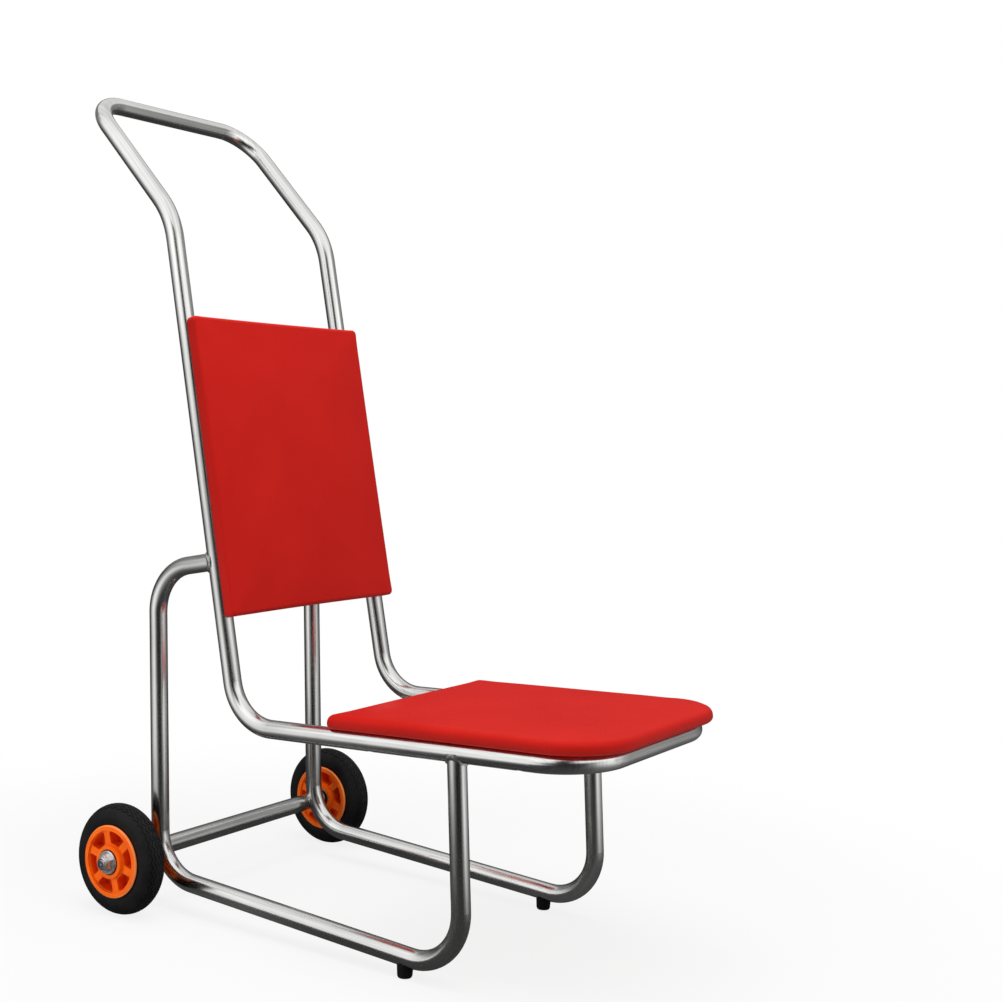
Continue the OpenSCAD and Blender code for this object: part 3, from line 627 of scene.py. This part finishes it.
seat_place = pad_place(-SEAT_RISE)
back_place = pad_place(math.pi / 2 - BACK_LEAN)
make_pad(PadShape(name="seat_cushion", node="seat_pad", place=seat_place, low=-575 * MM, high=-159.2 * MM,
                  low_r=85 * MM, high_r=8 * MM, thick=17.6 * MM, top_r=10 * MM, under_r=4.5 * MM,
                  low_steps=12, tube_clear=clear_of_rails))
make_pad(PadShape(name="back_cushion", node="back_pad", place=back_place, low=146.2 * MM, high=565.8 * MM,
                  low_r=8 * MM, high_r=8 * MM, thick=16.6 * MM, top_r=4.5 * MM, under_r=2.5 * MM,
                  low_steps=4, tube_clear=clear_of_uprights))


# Staples that hold the wrapped sheet to the boards

def staple_path():
    """A staple's centre line from leg to leg, its crown at z = 0 and its legs towards +z."""
    reach, bend, leg = 4.6 * MM, 0.7 * MM, 1.2 * MM
    half = [Vector((-reach, 0, leg))]
    for i in range(5):
        a = math.radians(180 + 22.5 * i)
        half.append(Vector((-reach + bend + bend * math.cos(a), 0, bend * math.sin(a) + bend)))
    half.append(Vector((0, 0, 0)))
    return half + [Vector((-p.x, 0, p.z)) for p in half[-2::-1]]


def make_staples(name, matrix, spots):
    """Flat wire staples at (x, y, turn) on a board's lower face, their crowns on the sheet."""
    wide, deep = 0.6 * MM, 0.25 * MM
    section = ((-1, -0.5), (-0.5, -1), (0.5, -1), (1, -0.5), (1, 0.5), (0.5, 1), (-0.5, 1), (-1, 0.5))
    path, n = staple_path(), len(section)
    points, faces = [], []
    for x, y, turn in spots:
        base = Matrix.Translation((x, y, -SHEET_T - deep)) @ Matrix.Rotation(turn, 4, "Z")
        first = len(points)
        for i, p in enumerate(path):
            way = (path[min(i + 1, len(path) - 1)] - path[max(i - 1, 0)]).normalized()
            lift = way.cross(Vector((0, 1, 0)))
            for a, b in section:
                points.append(base @ (p + Vector((0, a * wide, 0)) + lift * b * deep))
        for i in range(len(path) - 1):
            for j in range(n):
                a, b = first + i * n + j, first + i * n + (j + 1) % n
                faces.append((a, b, b + n, a + n))
        faces.append(tuple(range(first, first + n)))
        faces.append(tuple(reversed(range(len(points) - n, len(points)))))
    staples = new_object(name, points, faces, zinc, matrix)
    staples.data.set_sharp_from_angle(angle=math.radians(50))
    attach(staples, "frame")


def staple_spots(low, high):
    """Rows along the four edges of a board, clear of the tubes."""
    side_x, pitch, each_side = 146 * MM, 42 * MM, 3
    rows = []
    for i in range(-each_side, each_side + 1):
        rows += [(i * pitch, low, 0.0), (i * pitch, high, 0.0)]
    steps = round((high - low) / pitch) - 1
    for i in range(1, steps + 1):
        y = low + (high - low) * i / (steps + 1)
        rows += [(-side_x, y, math.pi / 2), (side_x, y, math.pi / 2)]
    return rows


make_staples("seat_staples", seat_place, staple_spots(-531 * MM, -192 * MM))
make_staples("back_staples", back_place, staple_spots(179 * MM, 533 * MM))


# Tyres: a turned section whose lines follow a zigzag tread

def tyre_lines(half_width):
    """Lines round the tyre: place on the section's arc, depth, and share of the zigzag."""
    groove, floor, depth = 1.15 * MM, 0.7 * MM, 1.1 * MM
    mids = (-12.6 * MM, -7.55 * MM, -2.5 * MM, 2.5 * MM, 7.55 * MM, 12.6 * MM)
    edge, side_steps = 16.9 * MM, 14
    side = [half_width - (half_width - edge) * i / side_steps for i in range(side_steps + 1)]
    lines = [(-s, 0.0, 0.0) for s in side]
    for i, mid in enumerate(mids):
        lines += [(mid - groove, 0.0, 1.0), (mid - floor, depth, 1.0), (mid, depth, 1.0),
                  (mid + floor, depth, 1.0), (mid + groove, 0.0, 1.0)]
        if i + 1 < len(mids):
            lines.append(((mid + mids[i + 1]) / 2, 0.0, 1.0))
    return lines + [(s, 0.0, 0.0) for s in reversed(side)]


def make_tyre(name, node, side, body):
    ring_r, section_r = 57.5 * MM, 18.35 * MM
    bead_z, foot_r = 16.5 * MM, 45.42 * MM
    mould_depth, mould_angle, mould_width = 0.25 * MM, 70, 2.4
    waves, swing = 40, 1.7 * MM
    zigzag = (0.0, 1.0, 0.0, -1.0)
    turns = waves * len(zigzag)
    bead_angle = math.acos(-math.sqrt(section_r ** 2 - bead_z ** 2) / section_r)
    points, faces = [], []
    for t in range(turns):
        turn = 2 * math.pi * t / turns
        ring = [(foot_r, -bead_z)]
        for arc, depth, share in tyre_lines(bead_angle * section_r):
            angle = (arc + share * swing * zigzag[t % len(zigzag)]) / section_r
            off_line = (abs(math.degrees(angle)) - mould_angle) / mould_width
            r = section_r - depth - mould_depth * math.exp(-off_line ** 2)
            ring.append((ring_r + r * math.cos(angle), r * math.sin(angle)))
        ring.append((foot_r, bead_z))
        for r, z in ring:
            points.append((side * (WHEEL_X + z), AXLE.y + r * math.cos(turn), AXLE.z + r * math.sin(turn)))
    n = len(ring)
    for t in range(turns):
        a, b = t * n, (t + 1) % turns * n
        for i in range(n):
            j = (i + 1) % n
            quad = (a + i, a + j, b + j, b + i)
            faces.append(quad if side > 0 else quad[::-1])
    tyre = new_object(name, points, faces, tyre_rubber)
    tyre.data.set_sharp_from_angle(angle=math.radians(28))
    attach(tyre, body)
    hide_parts(node)


make_tyre("left_treaded_tyre", "left_tyre", -1, "left_wheel")
make_tyre("right_treaded_tyre", "right_tyre", 1, "right_wheel")


# Camera at the photograph's viewing angle

def place_camera():
    yaw, pitch, roll = (math.radians(a) for a in (CAMERA_YAW, CAMERA_PITCH, CAMERA_ROLL))
    back = Vector((math.sin(yaw) * math.cos(pitch), -math.cos(yaw) * math.cos(pitch), math.sin(pitch)))
    right = (-back).cross(Vector((0, 0, 1))).normalized()
    up = right.cross(-back)
    spot = CAMERA_BASE + back * CAMERA_BACK + right * CAMERA_RIGHT + up * CAMERA_UP
    x_axis = right * math.cos(roll) + up * math.sin(roll)
    y_axis = up * math.cos(roll) - right * math.sin(roll)
    turn = Matrix((x_axis, y_axis, back)).transposed().to_4x4()
    data = bpy.data.cameras.new("camera")
    data.sensor_width = SENSOR_W
    data.lens = FOCAL_PX / PHOTO_PX * SENSOR_W
    data.shift_y = (CENTRE_ROW_PX - PHOTO_PX / 2) / PHOTO_PX
    data.clip_start, data.clip_end = 0.01, 100
    camera = bpy.data.objects.new("camera", data)
    camera.matrix_world = Matrix.Translation(spot) @ turn
    scene.collection.objects.link(camera)
    scene.camera = camera


# Floor, white surroundings, soft lamps and the room that the steel reflects

def seen_ray(tree):
    """1 for rays from the camera, from mirrors and through glass, else 0."""
    path = add_node(tree, "LightPath").outputs
    seen = path["Is Camera Ray"]
    for ray in ("Is Glossy Ray", "Is Transmission Ray"):
        seen = add_node(tree, "Math", {0: seen, 1: path[ray]}, operation="MAXIMUM").outputs[0]
    return seen


def make_floor():
    """Pale ground. Where the camera or a reflection sees it, it is mostly white near the object, so that
    it keeps the shadow, and all white further out."""
    mat, tree = bare_material("pale_floor")
    at = add_node(tree, "TexCoord").outputs["Object"]
    away = add_node(tree, "VectorMath", {0: at}, operation="LENGTH").outputs["Value"]
    reach = {"Value": away, "From Min": SHADOW_START, "From Max": SHADOW_END,
             "To Min": SHADOW_WHITE, "To Max": 1.0}
    white = add_node(tree, "MapRange", reach, interpolation_type="SMOOTHSTEP").outputs[0]
    share = add_node(tree, "Math", {0: white, 1: seen_ray(tree)}, operation="MULTIPLY").outputs[0]
    matte = add_node(tree, "BsdfDiffuse", {"Color": grey(FLOOR_GREY)}).outputs[0]
    glow = add_node(tree, "Emission").outputs[0]
    mix = add_node(tree, "MixShader", {0: share, 1: matte, 2: glow}).outputs[0]
    add_node(tree, "OutputMaterial", {"Surface": mix})
    corners = [(x * FLOOR_REACH, y * FLOOR_REACH, 0) for x, y in ((-1, -1), (1, -1), (1, 1), (-1, 1))]
    new_object("floor", corners, [(0, 1, 2, 3)], mat, smooth=False)


def make_world():
    """White to the camera and to reflections, and a weaker light on the object."""
    world = bpy.data.worlds.new("studio")
    scene.world = world
    world.use_nodes = True
    tree = world.node_tree
    level = add_node(tree, "MapRange", {"Value": seen_ray(tree), "To Min": WORLD_LIGHT, "To Max": 1.0})
    back = tree.nodes["Background"]
    put(tree, back.inputs["Strength"], level.outputs[0])
    put(tree, back.inputs["Color"], grey(1))


def soft_lamp(name, spot, target, width, watts):
    """A square lamp that neither the camera nor reflections see."""
    data = bpy.data.lights.new(name, "AREA")
    data.shape = "SQUARE"
    data.size = width
    data.energy = watts
    lamp = bpy.data.objects.new(name, data)
    lamp.visible_glossy = lamp.visible_camera = False
    lamp.location = spot
    lamp.rotation_euler = (Vector(target) - Vector(spot)).to_track_quat("-Z", "Y").to_euler()
    scene.collection.objects.link(lamp)


def grey_ramp(tree, turn, stops):
    """Greys round the set. Each stop is the degrees to the camera's right and the brightness there, which
    the ramp holds as a share of the brightest."""
    ramp = add_node(tree, "ValToRGB", {"Fac": turn})
    ramp.color_ramp.interpolation = "EASE"
    marks = ramp.color_ramp.elements
    for i, (degrees, level) in enumerate(stops):
        place = (degrees + 180) / 360
        mark = marks[i] if i < 2 else marks.new(place)
        mark.position = place
        mark.color = grey(level / BRIGHTEST)
    return ramp.outputs["Color"]


def room_material(name, near_stops, far_stops, measure, start, end):
    """Greys round the set, which change from near to far with the height or with the distance."""
    mat, tree = bare_material(name)
    at = add_node(tree, "TexCoord").outputs["Object"]
    place = add_node(tree, "SeparateXYZ", {0: at}).outputs
    angle = add_node(tree, "Math", {0: place["Y"], 1: place["X"]}, operation="ARCTAN2").outputs[0]
    circle = {"Value": angle, "From Min": -math.pi, "From Max": math.pi}
    turn = add_node(tree, "MapRange", circle).outputs[0]
    if measure == "height":
        value = place["Z"]
    else:
        value = add_node(tree, "VectorMath", {0: at}, operation="LENGTH").outputs["Value"]
    share = add_node(tree, "MapRange", {"Value": value, "From Min": start, "From Max": end},
                     interpolation_type="SMOOTHSTEP").outputs[0]
    near, far = grey_ramp(tree, turn, near_stops), grey_ramp(tree, turn, far_stops)
    colour = add_node(tree, "Mix", {0: share, 6: near, 7: far}, data_type="RGBA").outputs[2]
    glow = add_node(tree, "Emission", {"Color": colour, "Strength": BRIGHTEST}).outputs[0]
    add_node(tree, "OutputMaterial", {"Surface": glow})
    return mat


def room_surface(rings, mat):
    """A surface of two rings (radius, height) round the set, turned to the camera, that only reflections
    see."""
    points, faces = [], []
    for radius, z in rings:
        for i in range(ROOM_SIDES):
            a = 2 * math.pi * i / ROOM_SIDES
            points.append((radius * math.cos(a), radius * math.sin(a), z))
    for i in range(ROOM_SIDES):
        j = (i + 1) % ROOM_SIDES
        faces.append((i, j, j + ROOM_SIDES, i + ROOM_SIDES))
    surface = new_object(mat.name, points, faces, mat, smooth=False)
    surface.matrix_world = Matrix.Rotation(math.radians(ROOM_TURN), 4, "Z")
    surface.visible_camera = surface.visible_diffuse = surface.visible_shadow = False
    surface.visible_transmission = surface.visible_volume_scatter = False


def make_room():
    """The studio as the steel sees it: dark towards the camera and behind the set, bright strips at both
    sides, and a bright ceiling. Each grey is a pair of degrees to the camera's right and brightness."""
    dark = ((-180, 0.05), (-100, 0.06), (-60, 0.10), (-20, 0.06), (30, 0.06), (70, 0.10), (120, 0.06),
            (180, 0.05))
    low = ((-180, 0.05), (-112, 0.06), (-90, 0.40), (-72, 1.05), (-56, 1.35), (-42, 1.05), (-28, 0.35),
           (-14, 0.04), (0, 0.02), (26, 0.03), (40, 0.30), (54, 0.95), (68, 1.30), (84, 0.80), (106, 0.42),
           (126, 0.24), (142, 0.08), (180, 0.05))
    high = ((-180, 0.25), (-112, 0.25), (-94, 0.60), (-78, 1.30), (-54, 1.55), (-28, 1.55), (-18, 0.80),
            (-10, 0.02), (6, 0.02), (14, 0.60), (24, 1.30), (40, 1.55), (72, 1.60), (88, 1.10), (104, 0.40),
            (180, 0.25))
    bright = ((-180, 0.95), (-110, 1.10), (-50, 1.40), (60, 1.40), (110, 1.10), (180, 0.95))
    ceiling_edge = math.hypot(ROOM_R, ROOM_TOP)
    low_ring, top_ring = (ROOM_R, ROOM_LIFT), (ROOM_R, ROOM_TOP)
    room_surface(((ROOM_HOLE_R, ROOM_LIFT), low_ring),
                 room_material("room_floor", dark, low, "distance", start=0.35, end=1.7))
    room_surface((low_ring, top_ring),
                 room_material("room_wall", low, high, "height", start=0.7, end=1.7))
    room_surface(((ROOM_HOLE_R, ROOM_TOP), top_ring),
                 room_material("room_ceiling", bright, high, "distance",
                               start=0.93 * ceiling_edge, end=1.01 * ceiling_edge))


place_camera()
make_floor()
make_world()
make_room()
for lamp_row in LAMPS:
    soft_lamp(*lamp_row)

scene.view_settings.view_transform = "Standard"
